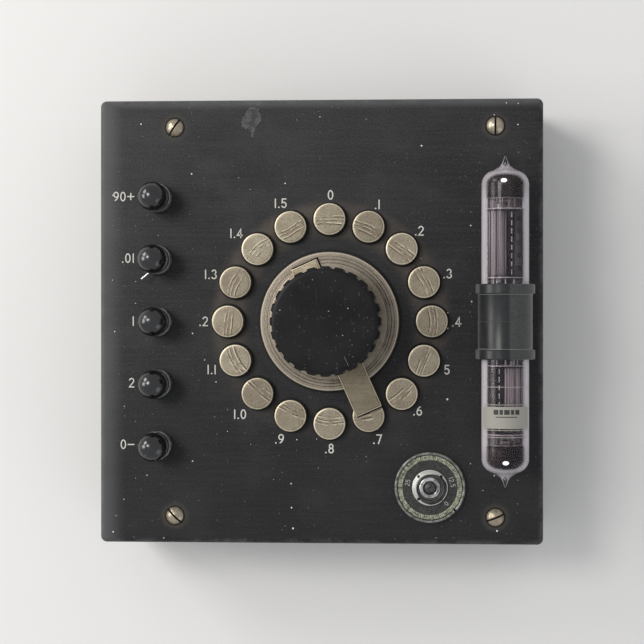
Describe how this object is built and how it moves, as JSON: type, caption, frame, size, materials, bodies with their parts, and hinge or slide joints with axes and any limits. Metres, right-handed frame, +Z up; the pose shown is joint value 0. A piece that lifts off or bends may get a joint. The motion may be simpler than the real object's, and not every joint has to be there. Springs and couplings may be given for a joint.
{
  "type": "variable tuning capacitor",
  "caption": "Square bench capacitor box: fluted knob sweeping an arm over a ring of contact studs, screw terminals, small dial trimmer and two plug-in valves on a dark panel.",
  "frame": {"origin": "middle of the case's footprint, on the surface the four feet stand on", "axes": "+Z up out of the panel, +X towards the valves, +Y towards the rear edge, away from the user"},
  "size_m": [0.1822, 0.1822, 0.082],
  "materials": {
    "ebonite": "moulded, dulled by age, with fine scratches",
    "black_paint": "black crackle paint on cast alloy",
    "steel": "satin",
    "rubber": "matt",
    "aged_nickel": "nickel plate on brass, worn and yellowed",
    "glass": "clear, with a dark getter mirror inside the tip",
    "electrode_metal": "grey, part carbonised",
    "ivory_plastic": "yellowed ivory scale round a black face",
    "vane_metal": "plain",
    "bakelite": "brown moulded"
  },
  "bodies": {
    "cabinet": {"panel": "ebonite", "case": "black_paint", "base_cover": "steel", "foot_front_left": "rubber", "foot_front_right": "rubber", "foot_rear_left": "rubber", "foot_rear_right": "rubber", "panel_screw_front_left": "aged_nickel", "panel_screw_front_right": "aged_nickel", "panel_screw_rear_left": "aged_nickel", "panel_screw_rear_right": "aged_nickel", "contact_stud_00": "aged_nickel", "contact_stud_01": "aged_nickel", "contact_stud_02": "aged_nickel", "contact_stud_03": "aged_nickel", "contact_stud_04": "aged_nickel", "contact_stud_05": "aged_nickel", "contact_stud_06": "aged_nickel", "contact_stud_07": "aged_nickel", "contact_stud_08": "aged_nickel", "contact_stud_09": "aged_nickel", "contact_stud_10": "aged_nickel", "contact_stud_11": "aged_nickel", "contact_stud_12": "aged_nickel", "contact_stud_13": "aged_nickel", "contact_stud_14": "aged_nickel", "contact_stud_15": "aged_nickel", "collector_disc": "aged_nickel", "selector_bush": "aged_nickel", "terminal_post_1": "aged_nickel", "terminal_post_2": "aged_nickel", "terminal_post_3": "aged_nickel", "terminal_post_4": "aged_nickel", "terminal_post_5": "aged_nickel", "valve_sleeve": "ebonite", "valve_saddle": "ebonite", "trimmer_bezel": "aged_nickel", "trimmer_stator": "vane_metal", "capacitor_block": "bakelite"},
    "selector": {"selector_knob": "ebonite", "selector_arm": "aged_nickel", "selector_shaft": "steel"},
    "trimmer": {"trimmer_dial": "ivory_plastic", "trimmer_hub": "aged_nickel", "trimmer_rotor": "vane_metal"},
    "valve_rear": {"valve_rear_glass": "glass", "valve_rear_electrodes": "electrode_metal"},
    "valve_front": {"valve_front_glass": "glass", "valve_front_electrodes": "electrode_metal"},
    "clamp_1": {"terminal_collar_1": "ebonite"},
    "head_1": {"terminal_head_1": "ebonite"},
    "clamp_2": {"terminal_collar_2": "ebonite", "wire_stub": "steel"},
    "head_2": {"terminal_head_2": "ebonite"},
    "clamp_3": {"terminal_collar_3": "ebonite"},
    "head_3": {"terminal_head_3": "ebonite"},
    "clamp_4": {"terminal_collar_4": "ebonite"},
    "head_4": {"terminal_head_4": "ebonite"},
    "clamp_5": {"terminal_collar_5": "ebonite"},
    "head_5": {"terminal_head_5": "ebonite"}
  },
  "joints": [
    {"name": "selector_turn", "type": "hinge", "parent": "cabinet", "child": "selector", "pos_m": [0.0041, 0.0001, 0.052], "axis": [0, 0, 1], "continuous": true},
    {"name": "trimmer_turn", "type": "hinge", "parent": "cabinet", "child": "trimmer", "pos_m": [0.045, -0.0676, 0.052], "axis": [0, 0, 1], "range_deg": [-60, 120]},
    {"name": "valve_rear_pull", "type": "slide", "parent": "cabinet", "child": "valve_rear", "axis": [0, 1, 0], "range_m": [0, 0.016]},
    {"name": "valve_front_pull", "type": "slide", "parent": "cabinet", "child": "valve_front", "axis": [0, -1, 0], "range_m": [0, 0.016]},
    {"name": "terminal_1_lift", "type": "slide", "parent": "cabinet", "child": "clamp_1", "axis": [0, 0, 1], "range_m": [0, 0.00324]},
    {"name": "terminal_1_turn", "type": "hinge", "parent": "clamp_1", "child": "head_1", "pos_m": [-0.0672, 0.0508, 0.052], "axis": [0, 0, 1], "range_deg": [0, 1440]},
    {"name": "terminal_2_lift", "type": "slide", "parent": "cabinet", "child": "clamp_2", "axis": [0, 0, 1], "range_m": [0, 0.00324]},
    {"name": "terminal_2_turn", "type": "hinge", "parent": "clamp_2", "child": "head_2", "pos_m": [-0.0672, 0.0254, 0.052], "axis": [0, 0, 1], "range_deg": [0, 1440]},
    {"name": "terminal_3_lift", "type": "slide", "parent": "cabinet", "child": "clamp_3", "axis": [0, 0, 1], "range_m": [0, 0.00324]},
    {"name": "terminal_3_turn", "type": "hinge", "parent": "clamp_3", "child": "head_3", "pos_m": [-0.0672, 0, 0.052], "axis": [0, 0, 1], "range_deg": [0, 1440]},
    {"name": "terminal_4_lift", "type": "slide", "parent": "cabinet", "child": "clamp_4", "axis": [0, 0, 1], "range_m": [0, 0.00324]},
    {"name": "terminal_4_turn", "type": "hinge", "parent": "clamp_4", "child": "head_4", "pos_m": [-0.0672, -0.0254, 0.052], "axis": [0, 0, 1], "range_deg": [0, 1440]},
    {"name": "terminal_5_lift", "type": "slide", "parent": "cabinet", "child": "clamp_5", "axis": [0, 0, 1], "range_m": [0, 0.00324]},
    {"name": "terminal_5_turn", "type": "hinge", "parent": "clamp_5", "child": "head_5", "pos_m": [-0.0672, -0.0508, 0.052], "axis": [0, 0, 1], "range_deg": [0, 1440]}
  ],
  "couplings": [
    {"joint": "terminal_1_turn", "follows": "terminal_1_lift", "rad_per_m": 7757},
    {"joint": "terminal_2_turn", "follows": "terminal_2_lift", "rad_per_m": 7757},
    {"joint": "terminal_3_turn", "follows": "terminal_3_lift", "rad_per_m": 7757},
    {"joint": "terminal_4_turn", "follows": "terminal_4_lift", "rad_per_m": 7757},
    {"joint": "terminal_5_turn", "follows": "terminal_5_lift", "rad_per_m": 7757}
  ]
}
